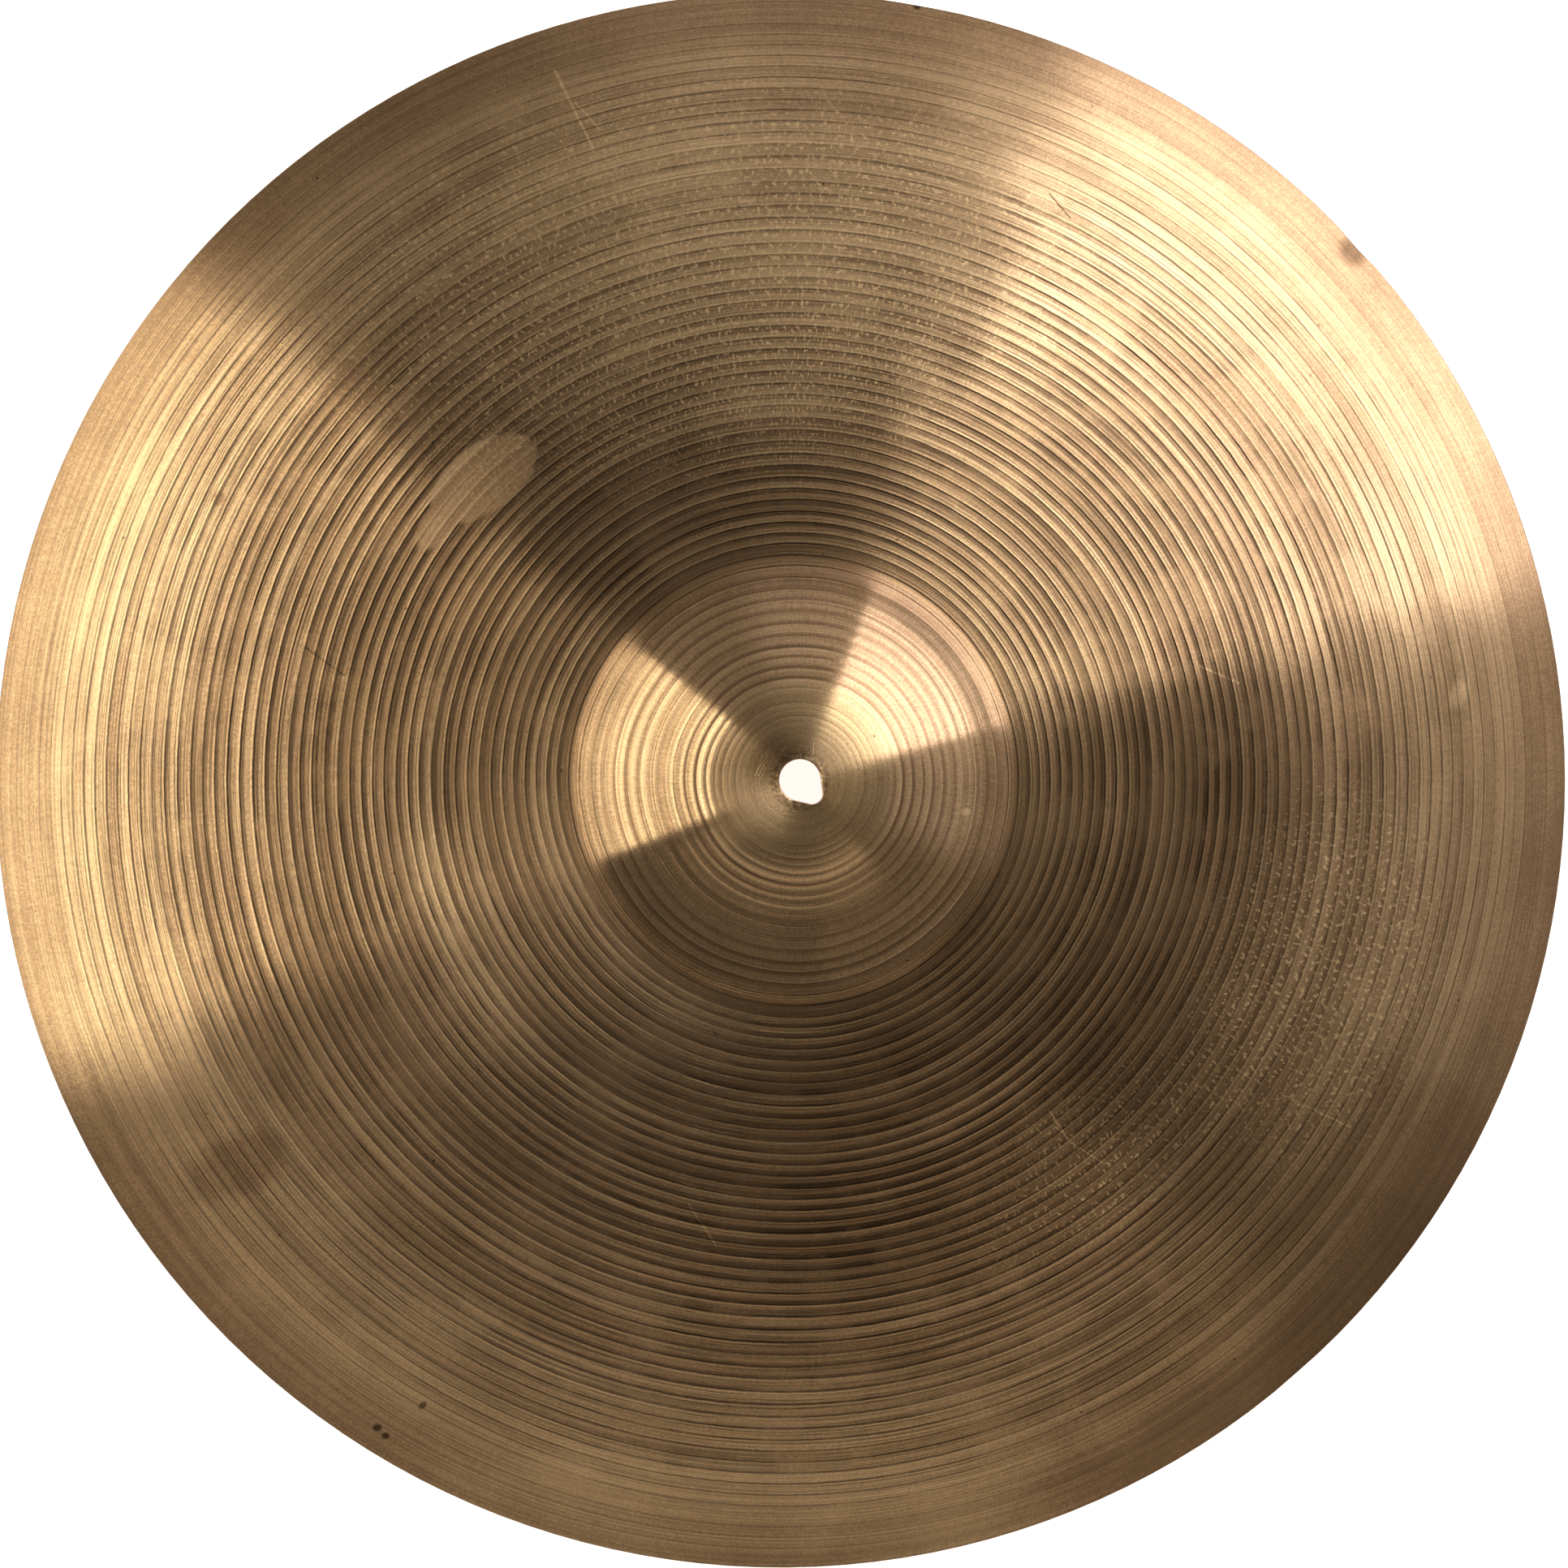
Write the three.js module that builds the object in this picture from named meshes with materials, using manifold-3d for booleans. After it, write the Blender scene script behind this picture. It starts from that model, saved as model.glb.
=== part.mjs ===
// An 18-inch crash cymbal: one piece of cast, rolled, hammered and lathed bronze.
// Millimetres, +Z up. The origin is on the mounting hole's axis, in the plane that the rim rests on.
// The section is a flat crown round the hole, a domed bell, a fillet at the bell's foot, and a bow
// whose fall steepens towards the edge. The blank is turned as one closed shell, then drilled.
import * as THREE from "three";
import { mergeVertices } from "three/addons/utils/BufferGeometryUtils.js";
import Module from "manifold-3d";

// Driving dimensions.
const EDGE_RADIUS = 228.6; // half of 18 inches
const CROWN_RADIUS = 10; // flat seat round the hole, for the stand's felts
const BELL_DOME_END = 58; // where the dome gives way to the fillet at the bell's foot
const BELL_FLANK_SLOPE = THREE.MathUtils.degToRad(36); // steepest fall, at the bottom of the dome
const FOOT_FILLET_RADIUS = 14;
const BOW_START_SLOPE = THREE.MathUtils.degToRad(3.5);
const BOW_END_SLOPE = THREE.MathUtils.degToRad(14.5);

// Wall thickness, measured square to the surface. It thins from the bell to the edge.
const CROWN_WALL = 1.45;
const BELL_FOOT_WALL = 1.3;
const EDGE_WALL = 0.8;
const RIM_LAND = 0.8; // width of the flat that wear leaves under the edge

// The mounting hole, drilled round, with a notch that the stand's rod has worn into one side.
const HOLE_RADIUS = 5.95;
const NOTCH_RADIUS = 3;
const NOTCH_OFFSET = 5.15; // from the hole's centre to the notch's centre
const NOTCH_BEARING = THREE.MathUtils.degToRad(-48); // from +X, seen from above

// Facets.
const SEGMENTS_ROUND = 96;
const DOME_STEPS = 7;
const FILLET_STEPS = 4;
const BOW_STEPS = 8;
const HOLE_ARC_STEPS = 32;
const NOTCH_ARC_STEPS = 12;

const wasm = await Module();
wasm.setup();

// Radii of the dome and of the bow, which follow from where each arc starts and ends.
const domeRadius = (BELL_DOME_END - CROWN_RADIUS) / Math.sin(BELL_FLANK_SLOPE);
const filletRun = FOOT_FILLET_RADIUS * (Math.sin(BELL_FLANK_SLOPE) - Math.sin(BOW_START_SLOPE));
const bowStart = BELL_DOME_END + filletRun;
const bowRadius = (EDGE_RADIUS - bowStart) / (Math.sin(BOW_END_SLOPE) - Math.sin(BOW_START_SLOPE));

// Adds an arc to a line of { r, z, slope } points, as the fall turns from its last slope to another.
// A positive radius is convex from above, and a negative one is hollow.
function turn(line, radius, endSlope, steps) {
  const from = line.at(-1);
  for (let i = 1; i <= steps; i++) {
    const slope = THREE.MathUtils.lerp(from.slope, endSlope, i / steps);
    line.push({
      r: from.r + radius * (Math.sin(slope) - Math.sin(from.slope)),
      z: from.z - radius * (Math.cos(from.slope) - Math.cos(slope)),
      slope,
    });
  }
}

// The upper surface from the axis to the edge, with the crown at height 0.
function upperLine() {
  const line = [
    { r: 0, z: 0, slope: 0 },
    { r: CROWN_RADIUS, z: 0, slope: 0 },
  ];
  turn(line, domeRadius, BELL_FLANK_SLOPE, DOME_STEPS);
  turn(line, -FOOT_FILLET_RADIUS, BOW_START_SLOPE, FILLET_STEPS);
  turn(line, bowRadius, BOW_END_SLOPE, BOW_STEPS);
  return line;
}

function wallAt(r) {
  if (r <= CROWN_RADIUS) return CROWN_WALL;
  if (r <= bowStart) return THREE.MathUtils.mapLinear(r, CROWN_RADIUS, bowStart, CROWN_WALL, BELL_FOOT_WALL);
  return THREE.MathUtils.mapLinear(r, bowStart, EDGE_RADIUS, BELL_FOOT_WALL, EDGE_WALL);
}

// The closed section, in the order that LatheGeometry needs for faces that point out.
function section() {
  const upper = upperLine();
  const lower = upper.map(({ r, z, slope }) => ({ r, z: z - wallAt(r) / Math.cos(slope) }));
  // The underside stops short of the edge, and the worn land runs level from there.
  const edge = lower.pop();
  const landZ = edge.z + RIM_LAND * Math.tan(BOW_END_SLOPE);
  lower.push({ r: EDGE_RADIUS - RIM_LAND, z: landZ }, { r: EDGE_RADIUS, z: landZ });
  return [...lower, ...upper.reverse()].map(({ r, z }) => new THREE.Vector2(r, z - landZ));
}

// A closed mesh as a manifold-3d solid.
function solidOf(geometry) {
  const bare = geometry.clone();
  bare.deleteAttribute("normal");
  bare.deleteAttribute("uv");
  const merged = mergeVertices(bare, 1e-4);
  return new wasm.Manifold(
    new wasm.Mesh({
      numProp: 3,
      vertProperties: merged.attributes.position.array,
      triVerts: new Uint32Array(merged.index.array),
    }),
  );
}

function geometryOf(solid) {
  const mesh = solid.getMesh();
  const geometry = new THREE.BufferGeometry();
  geometry.setAttribute("position", new THREE.BufferAttribute(mesh.vertProperties, 3));
  geometry.setIndex(new THREE.BufferAttribute(mesh.triVerts, 1));
  geometry.computeVertexNormals();
  return geometry;
}

// The turned blank, with no hole. LatheGeometry turns its section about Y, which is stood up along Z.
function blank() {
  return new THREE.LatheGeometry(section(), SEGMENTS_ROUND).rotateX(Math.PI / 2);
}

// The hole's outline is a round hole and a smaller round notch, joined by the two lines that touch both.
function holeCutter(height) {
  const turnIn = Math.acos((HOLE_RADIUS - NOTCH_RADIUS) / NOTCH_OFFSET);
  const outline = new THREE.Path();
  outline.absarc(0, 0, HOLE_RADIUS, turnIn, 2 * Math.PI - turnIn);
  const holeArc = outline.getPoints(HOLE_ARC_STEPS);
  const notch = new THREE.Path();
  notch.absarc(NOTCH_OFFSET, 0, NOTCH_RADIUS, -turnIn, turnIn);
  const shape = new THREE.Shape([...holeArc, ...notch.getPoints(NOTCH_ARC_STEPS)]);
  return new THREE.ExtrudeGeometry(shape, { depth: height, bevelEnabled: false }).rotateZ(NOTCH_BEARING);
}

function cymbal() {
  const turned = blank();
  turned.computeBoundingBox();
  const drill = holeCutter(turned.boundingBox.max.z * 2);
  const drilled = solidOf(turned).subtract(solidOf(drill));
  const bronze = new THREE.MeshStandardMaterial({ color: 0xb08a52, roughness: 0.38, metalness: 1 });
  const mesh = new THREE.Mesh(geometryOf(drilled), bronze);
  mesh.name = "cymbal";
  return mesh;
}

const part = new THREE.Group();
part.add(cymbal());

export default part;
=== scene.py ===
"""An 18-inch crash cymbal in lathed bronze, on a pale floor under two tall softboxes."""

import math

import bmesh
import bpy
import numpy as np
from mathutils import Matrix, Vector, noise


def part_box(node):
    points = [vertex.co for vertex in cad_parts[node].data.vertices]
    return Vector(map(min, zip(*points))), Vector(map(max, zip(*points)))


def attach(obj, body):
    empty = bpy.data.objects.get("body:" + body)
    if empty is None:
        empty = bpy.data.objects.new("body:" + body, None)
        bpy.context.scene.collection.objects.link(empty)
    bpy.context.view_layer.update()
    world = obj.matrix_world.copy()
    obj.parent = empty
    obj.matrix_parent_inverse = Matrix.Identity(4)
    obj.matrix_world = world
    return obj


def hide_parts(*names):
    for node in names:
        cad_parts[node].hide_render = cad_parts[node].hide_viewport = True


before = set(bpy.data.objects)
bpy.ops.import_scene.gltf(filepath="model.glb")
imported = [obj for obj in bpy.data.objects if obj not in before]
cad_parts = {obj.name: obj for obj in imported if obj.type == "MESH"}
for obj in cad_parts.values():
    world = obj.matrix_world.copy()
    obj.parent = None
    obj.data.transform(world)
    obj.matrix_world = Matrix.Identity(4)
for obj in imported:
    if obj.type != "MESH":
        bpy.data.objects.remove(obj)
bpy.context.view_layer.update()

MM = 0.001

# The turned section, in millimetres. The edge and the height come from the frame.
_, high_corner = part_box("cymbal")
EDGE_RADIUS = high_corner.x / MM
CROWN_HEIGHT = high_corner.z / MM
CROWN_RADIUS = 10
BELL_DOME_END = 58
BELL_FLANK_SLOPE = math.radians(36)
FOOT_FILLET_RADIUS = 14
BOW_START_SLOPE = math.radians(3.5)
BOW_END_SLOPE = math.radians(14.5)
CROWN_WALL = 1.45
BELL_FOOT_WALL = 1.3
EDGE_WALL = 0.8
RIM_LAND = 0.8
PLAIN_RIM = 0.2  # no groove is cut closer to the rim than this

# The mounting hole and the notch that the stand's rod has worn into it.
HOLE_RADIUS = 5.95
HOLE_EDGE_BREAK = 0.18
NOTCH_RADIUS = 3
NOTCH_OFFSET = 5.15
NOTCH_BEARING = math.radians(-48)

# The lathe's grooves: how far apart they are at some radii, and how deep.
GROOVE_PITCH_AT = ((6, 1.3), (16, 1.8), (25, 2.3), (30, 2.8), (38, 3.2), (46, 3.4), (56, 3.2), (70, 3.1),
                   (100, 3.4), (160, 3.7), (190, 3.2), (229, 3.0))
GROOVE_DEPTH_AT = ((7, 0.0), (12, 0.008), (24, 0.02), (30, 0.09), (40, 0.15), (48, 0.18), (54, 0.14),
                   (58, 0.06), (72, 0.055), (135, 0.07), (180, 0.065), (205, 0.045), (214, 0.02),
                   (220, 0.006), (228, 0.0))
UNEVEN_PITCH = (0.9, 1.1)  # each groove's share of the pitch and of the depth above
UNEVEN_DEPTH = (0.75, 1.2)
TOOL_STRAY = 0.025  # how far the tool strays as the disc turns, in grooves, for each of its wobbles
TOOL_WOBBLES = 7
# Rows of faces across one groove. 0 is the corner at its inner side, where the next groove's ridge rises.
GROOVE_ROWS = (0.0, 0.15, 0.21, 0.36, 0.56, 0.78, 0.95)
RIDGE_AT = 0.15
UNDERSIDE_ROWS = 56
SEGMENTS_ROUND = 168
LATHE_SEED = 18
HAMMER_UNEVENNESS = 0.25
RIM_DINGS = ((42.9, 0.5), (80.4, 0.2), (311, 0.15))  # bearing in degrees, and how far the rim is pushed in
DING_HALF_WIDTH = 0.03  # radians
DING_REACH = 6  # how far in from the rim a ding is felt
RAISED_WALL = 0.3  # a vertex less than this under the smooth upper surface belongs to the top


def between(table, r):
    """A value at radius r, from a short table of (radius, value)."""
    radii, values = zip(*table)
    return np.interp(r, radii, values)


def arc_fall(r, start, radius, slope):
    """How far an arc has fallen at r, where it starts level with 0 at a slope."""
    turned = np.arcsin(np.clip(math.sin(slope) + (r - start) / radius, -1, 1))
    return radius * (math.cos(slope) - np.cos(turned))


DOME_RADIUS = (BELL_DOME_END - CROWN_RADIUS) / math.sin(BELL_FLANK_SLOPE)
BOW_START = BELL_DOME_END + FOOT_FILLET_RADIUS * (math.sin(BELL_FLANK_SLOPE) - math.sin(BOW_START_SLOPE))
BOW_RADIUS = (EDGE_RADIUS - BOW_START) / (math.sin(BOW_END_SLOPE) - math.sin(BOW_START_SLOPE))


def upper_height(r):
    """Height of the smooth upper surface at radius r."""
    r = np.asarray(r, float)
    on_dome = np.clip(r, CROWN_RADIUS, BELL_DOME_END)
    on_fillet = np.clip(r, BELL_DOME_END, BOW_START)
    on_bow = np.clip(r, BOW_START, EDGE_RADIUS)
    fall = np.where(r > CROWN_RADIUS, arc_fall(on_dome, CROWN_RADIUS, DOME_RADIUS, 0), 0)
    fall = fall + arc_fall(on_fillet, BELL_DOME_END, -FOOT_FILLET_RADIUS, BELL_FLANK_SLOPE)
    fall = fall + arc_fall(on_bow, BOW_START, BOW_RADIUS, BOW_START_SLOPE)
    return CROWN_HEIGHT - fall


def wall_thickness(r):
    """Wall measured straight down."""
    wall = between(((CROWN_RADIUS, CROWN_WALL), (BOW_START, BELL_FOOT_WALL), (EDGE_RADIUS, EDGE_WALL)), r)
    step = 0.01
    slope = (upper_height(r + step) - upper_height(r - step)) / (2 * step)
    return wall * np.sqrt(1 + slope**2)


def counted_grooves():
    """Radii and the count of grooves inside each. The feed of a hand-held tool is uneven."""
    draw = np.random.default_rng(LATHE_SEED)
    edges = [HOLE_RADIUS]
    while edges[-1] < EDGE_RADIUS:
        pitch = between(GROOVE_PITCH_AT, edges[-1])
        edges.append(edges[-1] + pitch * draw.uniform(*UNEVEN_PITCH))
    return np.array(edges), np.arange(len(edges))


# Grooves are counted outwards from the hole, so that a count's fraction says how far across a groove is.
GROOVE_EDGES, GROOVE_COUNTS = counted_grooves()
GROOVES = len(GROOVE_EDGES)


def hole_outline(bearing):
    """The hole's radius along a bearing: a round hole joined to its smaller round notch."""
    turn_in = math.acos((HOLE_RADIUS - NOTCH_RADIUS) / NOTCH_OFFSET)
    tip = math.atan2(NOTCH_RADIUS * math.sin(turn_in), NOTCH_OFFSET + NOTCH_RADIUS * math.cos(turn_in))
    off = np.abs((bearing - NOTCH_BEARING + math.pi) % (2 * math.pi) - math.pi)
    across = NOTCH_OFFSET * np.sin(off)
    round_tip = NOTCH_OFFSET * np.cos(off) + np.sqrt(np.clip(NOTCH_RADIUS**2 - across**2, 0, None))
    straight = HOLE_RADIUS / np.cos(off - turn_in)
    return np.where(off < tip, round_tip, np.where(off < turn_in, straight, HOLE_RADIUS))


def section_points():
    """The closed section from the hole's upper edge out to the rim and back under to the hole."""
    counts = np.add.outer(GROOVE_COUNTS[:-1], GROOVE_ROWS).ravel()
    radii = np.interp(counts, GROOVE_COUNTS, GROOVE_EDGES)
    clear_of_ends = (radii > HOLE_RADIUS + 2 * HOLE_EDGE_BREAK) & (radii < EDGE_RADIUS - PLAIN_RIM)
    radii = np.append(radii[clear_of_ends], EDGE_RADIUS)
    radii = np.insert(radii, 0, HOLE_RADIUS + HOLE_EDGE_BREAK)
    top = [(r, z) for r, z in zip(radii, upper_height(radii))]
    under_radii = np.linspace(EDGE_RADIUS - RIM_LAND, HOLE_RADIUS + HOLE_EDGE_BREAK, UNDERSIDE_ROWS)
    under_heights = np.maximum(upper_height(under_radii) - wall_thickness(under_radii), 0)
    under_heights[0] = 0
    under = [(r, z) for r, z in zip(under_radii, under_heights)]
    hole_top = (HOLE_RADIUS, CROWN_HEIGHT - HOLE_EDGE_BREAK)
    hole_foot = (HOLE_RADIUS, CROWN_HEIGHT - CROWN_WALL + HOLE_EDGE_BREAK)
    return [hole_top, *top, (EDGE_RADIUS, 0), *under, hole_foot]


def turned_shell():
    """Spins the closed section round the axis."""
    mesh = bmesh.new()
    ring = [mesh.verts.new((r * MM, 0, z * MM)) for r, z in section_points()]
    edges = [mesh.edges.new(pair) for pair in zip(ring, ring[1:] + ring[:1])]
    bmesh.ops.spin(mesh, geom=[*ring, *edges], axis=(0, 0, 1), cent=(0, 0, 0),
                   angle=2 * math.pi, steps=SEGMENTS_ROUND, use_merge=True)
    bmesh.ops.recalc_face_normals(mesh, faces=mesh.faces)
    return mesh


def groove_floor(part, r):
    """How deep a groove is cut at a part of its width, from 0 on its ridge to 1 in its corner.

    On the bow it rises at once to a ridge and falls away in a hollow. On the bell its crest is round.
    """
    along = np.clip((part - RIDGE_AT) / (1 - RIDGE_AT), 0, 1)
    saw = np.where(part < RIDGE_AT, 1 - part / RIDGE_AT, (along - 0.62 * along**2) / 0.38)
    rounded = (2 * part - 1) ** 2
    on_bow = np.clip((r - BELL_DOME_END) / (BOW_START - BELL_DOME_END), 0, 1)
    return rounded + (saw - rounded) * on_bow


def tool_wander(r, bearing):
    """How far the tool strays outwards as the disc turns, in grooves."""
    draw = np.random.default_rng(LATHE_SEED + 2)
    stray = np.zeros(len(r))
    for harmonic in range(1, TOOL_WOBBLES + 1):
        drift, start = draw.uniform(-0.07, 0.07), draw.uniform(0, 2 * math.pi)
        stray += TOOL_STRAY * np.sin(harmonic * bearing + drift * r + start)
    return stray * np.clip((r - 12) / 15, 0, 1) * np.clip((EDGE_RADIUS - r) / 15, 0, 1)


def hammered(x, y, r):
    """The slow unevenness that hammering leaves, the same above and below, in millimetres."""
    wide = np.array([noise.noise((a / 46, b / 46, 3.1)) for a, b in zip(x, y)])
    narrow = np.array([noise.noise((a / 21, b / 21, 7.7)) for a, b in zip(x, y)])
    past_bell = np.clip((r - 60) / 30, 0, 1)
    short_of_rim = np.clip((EDGE_RADIUS - r) / 30, 0, 1)
    return HAMMER_UNEVENNESS * (wide + 0.35 * narrow) * past_bell * short_of_rim


def cymbal():
    """The turned shell, with its grooves, hammering, worn hole and dings."""
    mesh = turned_shell()
    data = bpy.data.meshes.new("lathed_cymbal")
    mesh.to_mesh(data)
    mesh.free()
    places = np.empty(len(data.vertices) * 3, np.float32)
    data.vertices.foreach_get("co", places)
    places = places.reshape(-1, 3).astype(float) / MM
    r = np.hypot(places[:, 0], places[:, 1])
    bearing = np.arctan2(places[:, 1], places[:, 0])
    is_top = places[:, 2] > upper_height(r) - RAISED_WALL

    counts = np.interp(r, GROOVE_EDGES, GROOVE_COUNTS)
    pitch = between(GROOVE_PITCH_AT, r)
    new_r = np.clip(r + tool_wander(r, bearing) * pitch * is_top, HOLE_RADIUS, EDGE_RADIUS)
    draw = np.random.default_rng(LATHE_SEED + 1)
    uneven = draw.uniform(*UNEVEN_DEPTH, GROOVES)[np.floor(counts + 0.001).astype(int)]
    depth = between(GROOVE_DEPTH_AT, r) * uneven
    part = (counts + 0.001) % 1 - 0.001
    lowered = upper_height(r) - upper_height(new_r) + depth * groove_floor(part, r)
    places[:, 2] -= np.where(is_top, lowered, 0)
    places[:, 2] = np.maximum(places[:, 2] + hammered(places[:, 0], places[:, 1], r), 0)

    near_hole = r < CROWN_RADIUS
    outline = hole_outline(bearing)
    stretched = outline + (r - HOLE_RADIUS) * (CROWN_RADIUS - outline) / (CROWN_RADIUS - HOLE_RADIUS)
    new_r = np.where(near_hole, stretched, new_r)
    places[:, 0] *= new_r / r
    places[:, 1] *= new_r / r

    for ding, depth in RIM_DINGS:
        off = np.abs((bearing - math.radians(ding) + math.pi) % (2 * math.pi) - math.pi)
        near_rim = np.clip((r - EDGE_RADIUS + DING_REACH) / DING_REACH, 0, 1)
        pushed = depth * np.exp(-((off / DING_HALF_WIDTH) ** 2)) * near_rim
        places[:, 0] *= 1 - pushed / r
        places[:, 1] *= 1 - pushed / r

    data.vertices.foreach_set("co", (places * MM).astype(np.float32).ravel())
    groove = data.attributes.new("groove", "FLOAT", "POINT")
    groove.data.foreach_set("value", counts.astype(np.float32))
    data.shade_smooth()
    data.update()
    piece = bpy.data.objects.new("lathed_cymbal", data)
    bpy.context.scene.collection.objects.link(piece)
    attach(piece, "root")
    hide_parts("cymbal")
    data.materials.append(bronze())
    return piece


class Nodes:
    """Adds nodes to one tree and joins them. A value may be a number, a tuple or another node's output."""

    def __init__(self, tree):
        self.tree = tree
        tree.nodes.clear()

    def add(self, kind, **settings):
        node = self.tree.nodes.new(kind)
        for name, value in settings.items():
            setattr(node, name, value)
        return node

    def feed(self, socket, value):
        if isinstance(value, bpy.types.NodeSocket):
            self.tree.links.new(value, socket)
        else:
            socket.default_value = value

    def math(self, operation, *values):
        node = self.add("ShaderNodeMath", operation=operation)
        for socket, value in zip(node.inputs, values):
            self.feed(socket, value)
        return node.outputs[0]

    def add_up(self, *values):
        total = values[0]
        for value in values[1:]:
            total = self.math("ADD", total, value)
        return total

    def swing(self, value, amount):
        """A value from 0 to 1, turned into a swing either side of 0."""
        return self.math("MULTIPLY", self.math("SUBTRACT", value, 0.5), amount)

    def without(self, value, amount):
        """1 where a value is 0, less as it grows."""
        return self.math("SUBTRACT", 1, self.math("MULTIPLY", value, amount))

    def product(self, *values):
        total = values[0]
        for value in values[1:]:
            total = self.math("MULTIPLY", total, value)
        return total

    def profile(self, value, table):
        """A value read from a short table of (where, value), straight between them."""
        total = table[0][1]
        for (low, from_value), (high, to_value) in zip(table, table[1:]):
            step = self.ramp(value, low, high, 0.0, to_value - from_value, smooth=False)
            total = self.math("ADD", total, step)
        return total

    def vector(self, operation, *values):
        node = self.add("ShaderNodeVectorMath", operation=operation)
        for socket, value in zip(node.inputs, values):
            self.feed(socket, value)
        return node.outputs["Value"] if operation in ("LENGTH", "DOT_PRODUCT") else node.outputs["Vector"]

    def scaled(self, vector, amount):
        node = self.add("ShaderNodeVectorMath", operation="SCALE")
        self.feed(node.inputs[0], vector)
        self.feed(node.inputs["Scale"], amount)
        return node.outputs["Vector"]

    def ramp(self, value, low, high, to_low=0.0, to_high=1.0, smooth=True):
        kind = "SMOOTHSTEP" if smooth else "LINEAR"
        node = self.add("ShaderNodeMapRange", interpolation_type=kind, clamp=True)
        names = ("Value", "From Min", "From Max", "To Min", "To Max")
        for name, each in zip(names, (value, low, high, to_low, to_high)):
            self.feed(node.inputs[name], each)
        return node.outputs["Result"]

    def mix(self, share, a, b):
        node = self.add("ShaderNodeMix", data_type="RGBA")
        self.feed(node.inputs[0], share)
        self.feed(node.inputs[6], a)
        self.feed(node.inputs[7], b)
        return node.outputs[2]

    def noise(self, vector, scale=1.0, detail=2.0, roughness=0.5):
        node = self.add("ShaderNodeTexNoise", noise_dimensions="3D")
        self.feed(node.inputs["Vector"], vector)
        self.feed(node.inputs["Scale"], scale)
        self.feed(node.inputs["Detail"], detail)
        self.feed(node.inputs["Roughness"], roughness)
        return node.outputs["Fac"]

    def combine(self, x, y, z):
        node = self.add("ShaderNodeCombineXYZ")
        for socket, value in zip(node.inputs, (x, y, z)):
            self.feed(socket, value)
        return node.outputs[0]


# Colours of the bronze, from polished through tarnished to black with age, and of the dirt in the grooves.
POLISHED = (0.86, 0.60, 0.33, 1)
TARNISHED = (0.33, 0.203, 0.108, 1)
BLACKENED = (0.06, 0.036, 0.018, 1)
DIRT = (0.03, 0.018, 0.009, 1)
# How tarnished the bronze is at some radii, from 0 for polished to 0.5 for tarnished and 1 for blackened.
TARNISH_AT = ((9, 0.31), (20, 0.31), (30, 0.34), (45, 0.38), (57, 0.42), (60, 0.49), (65, 0.49), (70, 0.46),
              (85, 0.48), (130, 0.48), (158, 0.44), (178, 0.36), (190, 0.33), (212, 0.33), (220, 0.39),
              (228, 0.44))
# How much grime lines the grooves at some radii.
GRIME_AT = ((10, 0.1), (24, 0.15), (50, 0.2), (66, 1.0), (178, 1.0), (202, 0.6), (214, 0.3), (222, 0.15))
# Painted shade on the outer side of each groove on the bow, darkening towards its corner: the part of its
# width where it starts, and its strength.
PAINTED_SHADE_FROM = ((66, 0.6), (80, 0.48), (135, 0.5), (165, 0.66), (195, 0.78), (210, 0.85))
PAINTED_SHADE_AT = ((60, 0.0), (70, 0.9), (135, 1.0), (165, 0.6), (195, 0.35), (212, 0.1))
BELL_FOOT = (57, 62)  # radii between which the bell's finish gives way to the bow's
CHATTER_ROUND = 130  # the tool's chatter marks, about this many to a radian

# Patches of wear and of lighter or darker patina: x, y, half its length, half its width, degrees it is
# turned, softness of its edge, and how much tarnish it adds.
THUMB_WORN = ((-89.2, 86.6, 17.5, 9.5, 36, 0.08), (-102, 74, 9, 4.5, 55, 0.15))
PATCHES = (
    # The broad lighter patch on the +y side is painted light, standing in for the brighter room on that side.
    (5, 140, 95, 40, 0, 0.6, -0.17),
    (-95, -46, 34, 12, -65, 0.5, -0.15),
    (52, -130, 48, 20, 20, 0.6, 0.07),
    (-159, -111, 15, 8, 25, 0.4, 0.14),
    (-48, 175, 42, 16, 15, 0.5, -0.1),
    (-20, -212, 120, 16, -4, 0.5, -0.1),
    (146, -144, 75, 30, 45, 0.6, 0.14),
    (120, 10, 60, 22, -70, 0.5, 0.06),
    (-8, 7, 7, 5, 30, 0.5, 0.16),
    (195.8, 25, 4.5, 2.6, 70, 0.4, -0.2),
    (48.5, -9, 1.6, 1.2, 0, 0.3, -0.2),
    (-164.9, 81, 2.2, 1.6, 60, 0.3, 0.2),
    (-118.9, -187, 1.3, 1, 0, 0.4, 0.5),
    (-116.5, -189.4, 1.1, 0.9, 0, 0.4, 0.5),
    (-105.9, -180.4, 1.2, 0.8, 40, 0.4, 0.45),
    (37.9, 224.7, 1.1, 0.7, -8, 0.4, 0.5),
    (165.5, 154, 4, 3, -47, 0.5, 0.3),
)
# Where small bits of clean bronze show on worn ridges: x, y, half length, half width, degrees, softness.
WORN_RIDGES = ((-28, 140, 88, 52, 8, 0.5), (152, -56, 32, 50, -15, 0.5), (88, -108, 34, 18, 40, 0.9))
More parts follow.
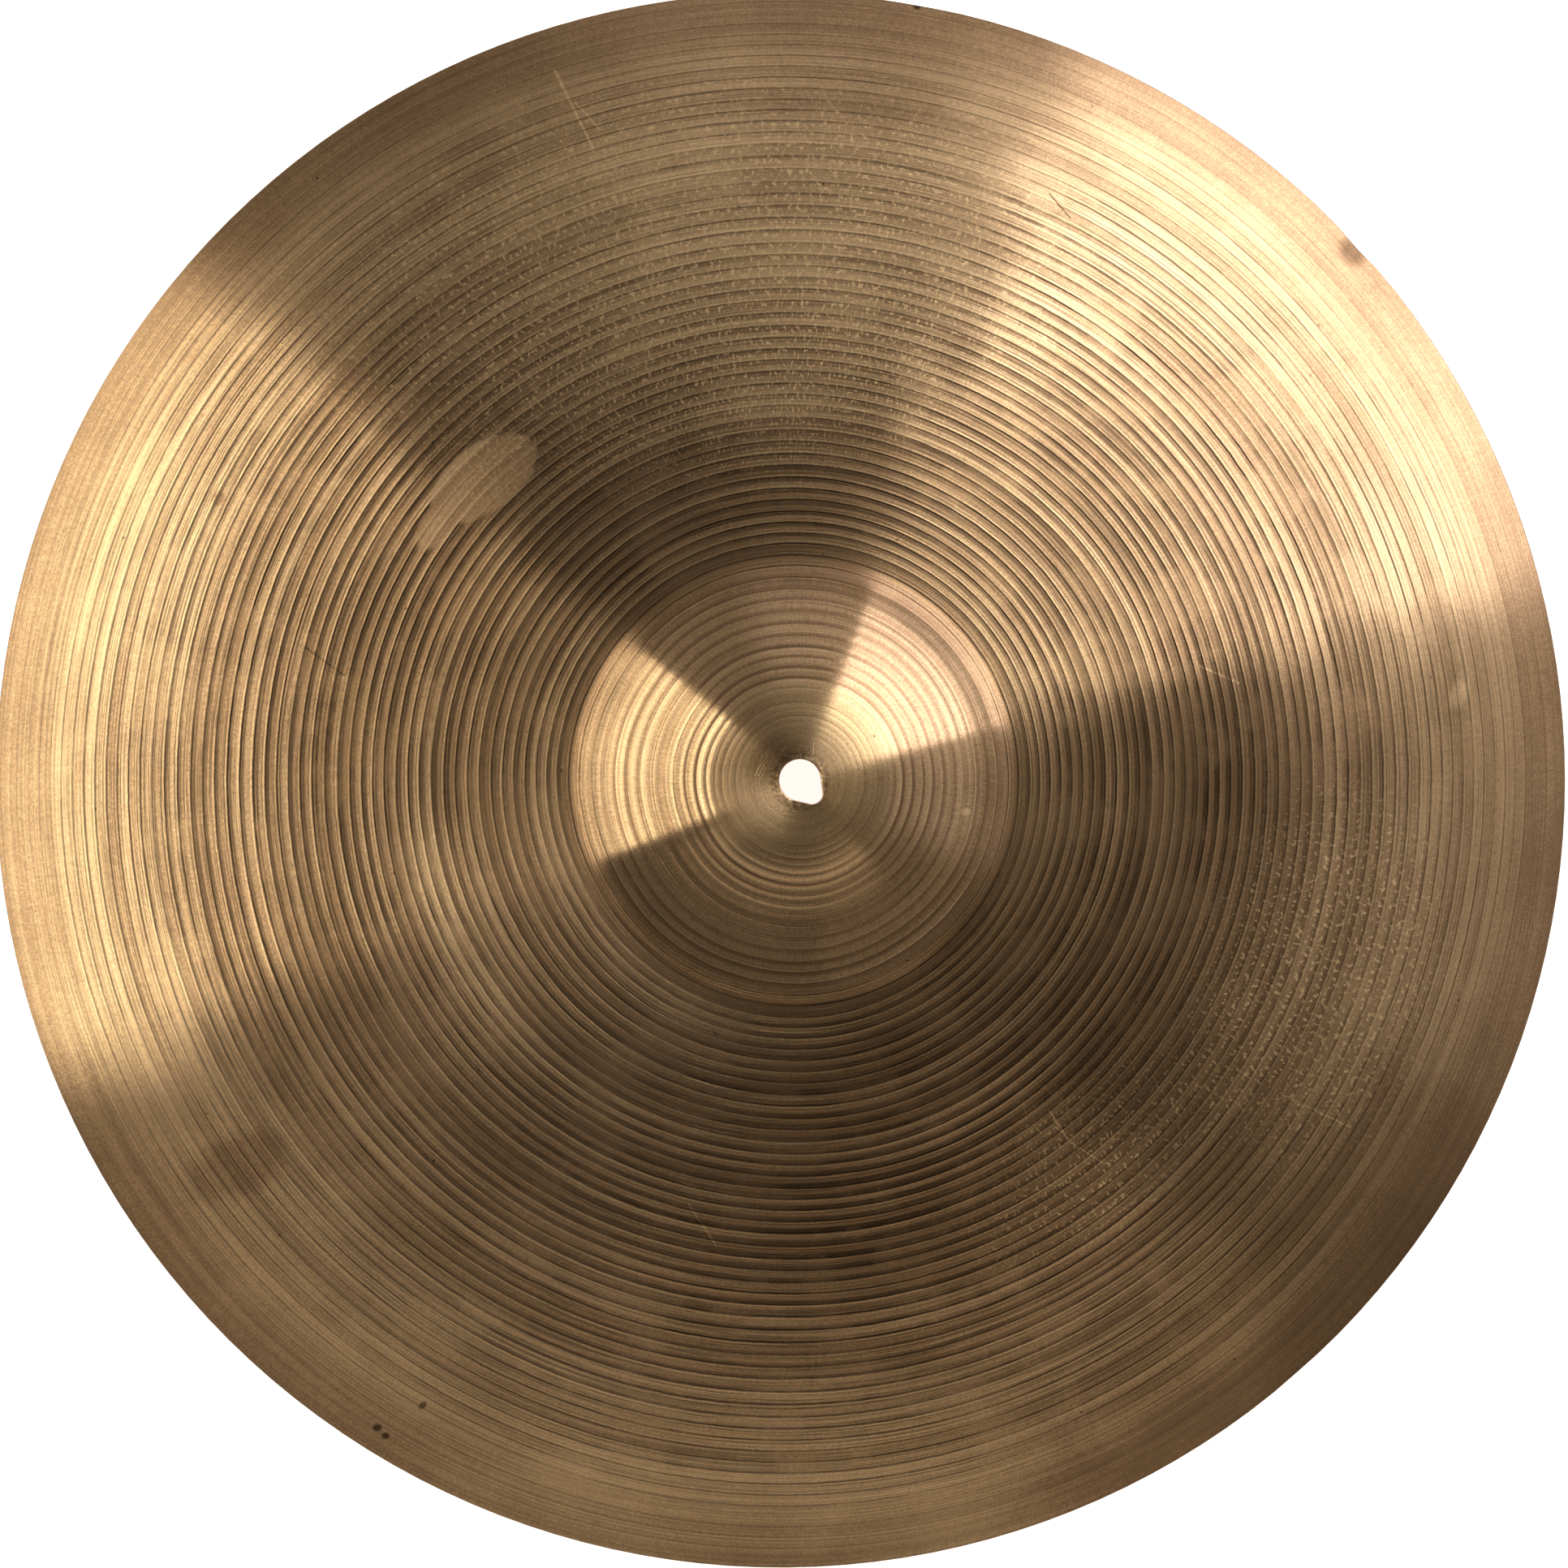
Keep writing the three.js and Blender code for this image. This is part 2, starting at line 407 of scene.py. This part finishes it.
# Scratches: x, y of each end, half the width, and how much tarnish each adds.
SCRATCHES = (
    (-67.5, 205, -57, 182.5, 0.35, -0.22),
    (-62, 196, -55, 188, 0.25, -0.18),
    (73.9, -94.9, 79.8, -103.8, 0.16, -0.3),
    (80.5, -104.5, 90.9, -111.1, 0.14, -0.25),
    (143.9, -91.6, 164, -101, 0.14, -0.22),
    (75.6, 170, 81.5, 163, 0.2, 0.4),
    (-12.9, 1.4, -11.2, 4.6, 0.05, -0.25),
    (-12.1, 0.9, -10.3, 4.4, 0.05, -0.25),
    (-11.2, 0.8, -9.8, 3.6, 0.05, -0.22),
    (3.9, 10.6, 3.7, 7.2, 0.06, -0.3),
    (-5.5, 8.2, -3.8, 9.4, 0.05, -0.25),
    (118, 33, 130, 28, 0.2, -0.2),
    (-140, 38, -129, 30, 0.16, 0.2),
    (22, -150, 38, -147, 0.14, -0.25),
    (-30, -122, -22, -134, 0.13, -0.25),
    (102, 128, 113, 118, 0.18, 0.2),
)


def bronze():
    """Lathed bronze under an even brown patina, with grime and painted shade in the grooves and a painted
    highlight on the ridges.
    """
    material = bpy.data.materials.new("lathed_bronze")
    material.use_nodes = True
    n = Nodes(material.node_tree)
    place = n.scaled(n.add("ShaderNodeTexCoord").outputs["Object"], 1 / MM)
    flat = n.vector("MULTIPLY", place, (1, 1, 0))
    r = n.vector("LENGTH", flat)
    xyz = n.add("ShaderNodeSeparateXYZ")
    n.feed(xyz.inputs[0], flat)

    def rings(along, across, detail=2.0):
        """Noise in rings: about 1/along millimetres long and 1/across wide."""
        x = n.math("MULTIPLY", xyz.outputs[0], along)
        y = n.math("MULTIPLY", xyz.outputs[1], along)
        return n.noise(n.combine(x, y, n.math("MULTIPLY", r, across)), detail=detail)

    def patch(x, y, half_long, half_wide, turn, softness):
        """1 inside an oval, with a ragged edge."""
        c, s = math.cos(math.radians(turn)), math.sin(math.radians(turn))
        off = n.vector("SUBTRACT", flat, (x, y, 0))
        u = n.vector("DOT_PRODUCT", off, (c / half_long, s / half_long, 0))
        v = n.vector("DOT_PRODUCT", off, (-s / half_wide, c / half_wide, 0))
        out = n.add_up(n.vector("LENGTH", n.combine(u, v, 0)), n.math("MULTIPLY", ragged, softness))
        return n.ramp(out, 1 - softness, 1 + softness, 1.0, 0.0)

    def scratch(x, y, end_x, end_y, half_width):
        """1 on a straight scratch, thinning out at its ends."""
        run = Vector((end_x - x, end_y - y, 0))
        off = n.vector("SUBTRACT", flat, (x, y, 0))
        share = n.vector("DOT_PRODUCT", off, tuple(run / run.length_squared))
        near = n.scaled(tuple(run), n.math("MINIMUM", n.math("MAXIMUM", share, 0), 1))
        gone = n.vector("LENGTH", n.vector("SUBTRACT", off, near))
        frayed = n.math("ADD", gone, n.math("MULTIPLY", ragged, 0.5))
        return n.ramp(frayed, half_width, half_width + 0.15, 1.0, 0.0)

    ragged = n.math("SUBTRACT", n.noise(place, 0.12, 3.0), 0.5)
    wobble = n.swing(n.noise(place, 0.16, 2.0), 0.11)
    groove = n.add_up(n.add("ShaderNodeAttribute", attribute_name="groove").outputs["Fac"], wobble)

    def line(shift, half_width, softness):
        """A line round the disc in each groove, a part of its width out from its corner, and its count."""
        moved = n.math("SUBTRACT", groove, shift)
        off = n.math("ABSOLUTE", n.math("SUBTRACT", n.math("FRACT", n.math("ADD", moved, 0.5)), 0.5))
        whose = n.math("FLOOR", n.math("ADD", moved, 0.5))
        return n.ramp(n.math("SUBTRACT", off, half_width), 0, softness, 1.0, 0.0), whose

    def chance(whose, salt):
        """A random number for each groove."""
        node = n.add("ShaderNodeTexWhiteNoise", noise_dimensions="1D")
        n.feed(node.inputs["W"], n.math("ADD", whose, salt))
        return node.outputs["Value"]

    # Unevenness of the patina, from the finest rings to broad blotches.
    fine = rings(0.006, 3.2, 3.0)
    streak = rings(0.014, 1.1, 3.0)
    soft = rings(0.007, 0.45)
    blotch = n.noise(place, 0.014, 4.0, 0.6)
    grain = n.noise(place, 1.5, 3.0, 0.7)
    band = chance(n.math("FLOOR", groove), 91.5)
    on_bell = n.ramp(r, *BELL_FOOT, 1.0, 0.0)

    # Lines of grime: one in each groove's corner, two fainter ones, short dashes and hairlines.
    corner, whose = line(0.05, n.math("MULTIPLY", streak, 0.08), 0.045)
    corner = n.math("MULTIPLY", corner, n.ramp(chance(whose, 0.5), 0.0, 1.0, 0.5, 1.0, smooth=False))
    second, whose = line(0.36, 0.02, 0.03)
    second = n.product(second, n.ramp(chance(whose, 7.5), 0.1, 0.6), n.ramp(streak, 0.38, 0.5))
    third, whose = line(0.76, 0.015, 0.03)
    third = n.product(third, n.ramp(chance(whose, 31.5), 0.2, 0.6), n.ramp(streak, 0.44, 0.58, 1.0, 0.0))
    dashes = n.ramp(rings(0.016, 1.3, 2.0), 0.56, 0.62)
    hair = n.math("ABSOLUTE", n.math("SUBTRACT", rings(0.01, 1.0, 2.0), 0.5))
    hair = n.ramp(hair, 0.0, 0.03, 1.0, 0.0)
    lines = n.math("MAXIMUM", corner, n.math("MULTIPLY", n.math("MAXIMUM", second, third), 0.6))
    faint = n.math("MAXIMUM", n.math("MULTIPLY", dashes, 0.4), n.math("MULTIPLY", hair, 0.3))
    lines = n.math("MAXIMUM", lines, faint)

    # Where wear has taken the grime off again.
    cut = n.profile(r, GRIME_AT)
    thumbed = n.math("MAXIMUM", *[patch(*oval) for oval in THUMB_WORN])
    mottle = n.ramp(n.noise(place, 0.05, 3.0, 0.6), 0.36, 0.56, 0.45, 1.0)
    worn = n.math("MINIMUM", n.add_up(*[patch(*oval) for oval in WORN_RIDGES]), 1)
    kept = n.product(mottle, n.without(thumbed, 0.9), n.without(worn, 0.45))
    lines = n.product(lines, cut, kept)

    # Ridges are lighter, partly wear and partly a painted highlight; the outer side of each groove has
    # painted shade. Worn ridges are clean in small dabs.
    ridge, whose = line(n.ramp(r, *BELL_FOOT, -0.1, 0.22), n.math("MULTIPLY", streak, 0.1), 0.05)
    ridge = n.product(ridge, n.ramp(chance(whose, 55.5), 0.0, 1.0, 0.4, 1.0, smooth=False), cut)
    outwards = n.math("FRACT", n.math("SUBTRACT", groove, RIDGE_AT))
    # Painted shade: darker towards each groove's corner, fainter where the patina is worn.
    painted_shade = n.ramp(n.math("SUBTRACT", outwards, n.profile(r, PAINTED_SHADE_FROM)), -0.08, 0.1)
    painted_shade = n.product(painted_shade, n.profile(r, PAINTED_SHADE_AT), n.ramp(streak, 0.3, 0.5, 0.6, 1.0))
    around = n.math("MULTIPLY", n.math("ARCTAN2", xyz.outputs[1], xyz.outputs[0]), CHATTER_ROUND)
    dabs = n.noise(n.combine(around, n.math("MULTIPLY", r, 0.6), 0), 1.0, 2.0, 0.6)
    bits = n.product(n.ramp(dabs, 0.54, 0.62), worn, n.ramp(outwards, 0.3, 0.6, 0.3, 1.0))
    # Painted shade in the hollow on the inner side of each groove on the bell.
    bell_groove_shade = n.product(n.ramp(n.math("FRACT", groove), 0.26, 0.36, 1.0, 0.0), on_bell, n.ramp(r, 24, 30))

    # The tool's chatter, tarnish at the hole's burred edge, and scattered specks.
    chatter = n.noise(n.combine(around, n.math("MULTIPLY", groove, 0.9), 0), 1.0, 2.0)
    chatter = n.product(n.math("SUBTRACT", chatter, 0.5), n.ramp(on_bell, 0, 1, 0.35, 1.0), n.ramp(r, 22, 32))
    burr = n.math("SUBTRACT", n.noise(place, 0.9, 3.0, 0.7), 0.42)
    burr = n.math("MULTIPLY", burr, n.ramp(r, 6.5, 10, 1.0, 0.0))
    specks = n.add("ShaderNodeTexVoronoi", voronoi_dimensions="3D", feature="F1")
    n.feed(specks.inputs["Vector"], flat)
    specks.inputs["Scale"].default_value = 0.09
    whose = n.add("ShaderNodeSeparateColor")
    n.feed(whose.inputs[0], specks.outputs["Color"])
    near = n.ramp(specks.outputs["Distance"], 0.02, 0.05, 1.0, 0.0)
    specks = n.product(near, n.ramp(whose.outputs[0], 0.5, 0.7))

    tarnish = n.add_up(
        n.profile(r, TARNISH_AT),
        n.swing(band, 0.12),
        n.swing(soft, 0.2),
        n.swing(blotch, 0.4),
        n.swing(fine, 0.36),
        n.swing(grain, 0.42),
        # lighter ridges: wear and a painted highlight
        n.math("MULTIPLY", ridge, -0.12),
        n.product(painted_shade, kept, 0.3),
        # painted shade in the bell's grooves
        n.math("MULTIPLY", bell_groove_shade, 0.16),
        n.math("MULTIPLY", chatter, 0.3),
        n.math("MULTIPLY", bits, -0.5),
        n.math("MULTIPLY", thumbed, -0.05),
        n.math("MULTIPLY", burr, 1.6),
        n.math("MULTIPLY", specks, 0.4),
        *[n.math("MULTIPLY", scratch(*mark), added) for *mark, added in SCRATCHES],
        *[n.math("MULTIPLY", patch(*oval), added) for *oval, added in PATCHES],
    )
    colours = n.add("ShaderNodeValToRGB")
    n.feed(colours.inputs[0], tarnish)
    colours.color_ramp.elements[0].color = POLISHED
    colours.color_ramp.elements[1].color = BLACKENED
    colours.color_ramp.elements.new(0.5).color = TARNISHED
    colour = n.mix(lines, colours.outputs[0], DIRT)

    shader = n.add("ShaderNodeBsdfPrincipled")
    n.feed(shader.inputs["Base Color"], colour)
    shader.inputs["Metallic"].default_value = 1
    roughness = n.add_up(
        n.ramp(fine, 0.3, 0.7, 0.185, 0.22),
        n.ramp(r, 8, 30, 0.1, 0.0),
        n.math("MULTIPLY", on_bell, -0.05),
        n.math("MULTIPLY", lines, 0.08),
        n.math("MULTIPLY", thumbed, 0.17),
    )
    n.feed(shader.inputs["Roughness"], roughness)
    shader.inputs["Anisotropic"].default_value = 0.9
    n.feed(shader.inputs["Tangent"], n.vector("NORMALIZE", flat))
    bump = n.add("ShaderNodeBump")
    bump.inputs["Strength"].default_value = 1
    bump.inputs["Distance"].default_value = MM
    height = n.add_up(
        n.math("MULTIPLY", fine, 0.009),
        n.math("MULTIPLY", streak, 0.007),
        n.math("MULTIPLY", lines, -0.03),
        n.math("MULTIPLY", grain, 0.002),
    )
    n.feed(bump.inputs["Height"], height)
    n.feed(shader.inputs["Normal"], bump.outputs[0])
    output = n.add("ShaderNodeOutputMaterial")
    n.feed(output.inputs["Surface"], shader.outputs[0])
    return material


FLOOR_RADIUS = 30
FLOOR_GAP = 0.0001


def floor():
    """A plain pale floor, bright enough to look white."""
    mesh = bmesh.new()
    bmesh.ops.create_circle(mesh, cap_ends=True, segments=96, radius=FLOOR_RADIUS)
    bmesh.ops.translate(mesh, verts=mesh.verts, vec=(0, 0, -FLOOR_GAP))
    data = bpy.data.meshes.new("floor")
    mesh.to_mesh(data)
    mesh.free()
    piece = bpy.data.objects.new("floor", data)
    bpy.context.scene.collection.objects.link(piece)
    material = bpy.data.materials.new("pale_floor")
    material.use_nodes = True
    n = Nodes(material.node_tree)
    shader = n.add("ShaderNodeBsdfPrincipled")
    shader.inputs["Base Color"].default_value = (0.9, 0.9, 0.9, 1)
    shader.inputs["Roughness"].default_value = 0.9
    shader.inputs["Emission Color"].default_value = (1, 1, 1, 1)
    shader.inputs["Emission Strength"].default_value = 0.8
    output = n.add("ShaderNodeOutputMaterial")
    n.feed(output.inputs["Surface"], shader.outputs[0])
    data.materials.append(material)


CAMERA_TILT = math.radians(4.9)
CAMERA_DISTANCE = 2.4
VIEW_WIDTH = 0.4553
LOOKS_AT = (-0.0008, -0.0011, 0)
SENSOR_WIDTH = 36

# Lights: the bearings of two sides, strengths by degrees down from overhead, and how soft the sides are.
KEY = (15, 68, ((14.5, 0.0), (20.5, 3.7), (25, 2.75), (48, 2.35), (64, 2.35), (72, 0.9), (80, 0.0)), 0.01)
KEY_SPILL = (-24, 104, ((6, 0.0), (12, 0.1), (15, 0.19), (20, 0.19), (25, 0.08), (30, 0.14), (40, 0.32),
                        (70, 0.34), (76, 0.0)), 0.15)
FILL = (140, 202, ((22.5, 0.0), (26, 6.6), (28.5, 4.7), (33, 1.1), (38, 0.6), (46, 1.1), (55, 2.7), (62, 2.3),
                   (70, 0.9), (80, 0.5), (86, 0.0)), 0.01)
FILL_SPILL = (194, 224, ((1, 0.0), (5, 0.11), (24, 0.11), (32, 0.0)), 0.03)
FAR_WALL = (208, 312, ((22.5, 0.0), (27, 0.5), (33, 0.46), (38, 0.0)), 0.03)
LAMP_WAY = (-0.092, -0.066, 0.9936)
ROOM = 0.062
ROOM_COLOUR = (1, 0.91, 0.79)
CEILING_COLOUR = (1, 0.94, 0.88)
KEY_TOP_COLOUR = (1, 1.04, 0.9, 1)
KEY_FOOT_COLOUR = (1, 0.985, 1.1, 1)
FILL_COLOUR = (1, 0.96, 0.84)


def down(degrees):
    """How high a direction points, from how far down from overhead it is."""
    return math.cos(math.radians(degrees))


def studio():
    """A dim room, paler at the horizon, with two tall softboxes."""
    world = bpy.data.worlds.new("studio")
    bpy.context.scene.world = world
    world.use_nodes = True
    n = Nodes(world.node_tree)
    way = n.add("ShaderNodeTexCoord").outputs["Generated"]
    parts = n.add("ShaderNodeSeparateXYZ")
    n.feed(parts.inputs[0], way)
    up = parts.outputs[2]

    def edge(bearing, side, soft):
        """1 on one side of the upright plane through a bearing as the camera sees it in the cymbal."""
        a = math.radians(bearing)
        out = (-math.sin(a) * side, math.cos(a) * side, 0)
        at = -math.sin(CAMERA_TILT) * math.sin(a) * side
        return n.ramp(n.vector("DOT_PRODUCT", way, out), at - soft, at + soft)

    def light(first, last, strengths, soft):
        """Light between two bearings, from a short table of (degrees down from overhead, strength)."""
        by_height = [(down(degrees), strength) for degrees, strength in reversed(strengths)]
        return n.product(edge(first, 1, soft), edge(last, -1, soft), n.profile(up, by_height))

    lamp = n.ramp(n.vector("DOT_PRODUCT", way, LAMP_WAY), down(7), down(3), 0.0, 0.5)
    walls = n.ramp(up, down(26), down(17), 0.11, 0.0)
    horizon = n.ramp(up, 0.1, 0.04, 0.0, 0.25)
    window = n.ramp(parts.outputs[0], 0.1, 0.3, 0.0, 0.09)
    ceiling = n.ramp(parts.outputs[1], -0.05, 0.25, 0.0, 0.165)
    room = n.add_up(ROOM, window, walls, light(*FAR_WALL), light(*FILL_SPILL), horizon)
    warm = n.vector("ADD", n.scaled(ROOM_COLOUR, room), n.scaled(CEILING_COLOUR, ceiling))
    key_colour = n.mix(n.ramp(up, down(30), down(20)), KEY_FOOT_COLOUR, KEY_TOP_COLOUR)
    white = n.scaled(key_colour, n.math("ADD", light(*KEY), light(*KEY_SPILL)))
    amber = n.scaled(FILL_COLOUR, n.math("ADD", light(*FILL), lamp))
    background = n.add("ShaderNodeBackground")
    n.feed(background.inputs["Color"], n.vector("ADD", n.vector("ADD", warm, white), amber))
    output = n.add("ShaderNodeOutputWorld")
    n.feed(output.inputs["Surface"], background.outputs[0])


def camera():
    """A long lens from above, tilted a little to one side."""
    back = Vector((-math.sin(CAMERA_TILT), 0, math.cos(CAMERA_TILT)))
    data = bpy.data.cameras.new("camera")
    data.sensor_width = SENSOR_WIDTH
    data.lens = SENSOR_WIDTH * CAMERA_DISTANCE / VIEW_WIDTH
    piece = bpy.data.objects.new("camera", data)
    bpy.context.scene.collection.objects.link(piece)
    piece.location = Vector(LOOKS_AT) + back * CAMERA_DISTANCE
    right = Vector((0, 1, 0)).cross(back).normalized()
    above = back.cross(right)
    piece.rotation_euler = Matrix((right, above, back)).transposed().to_euler()
    bpy.context.scene.camera = piece


camera()
studio()
floor()
cymbal()
bpy.context.scene.view_settings.view_transform = "Standard"
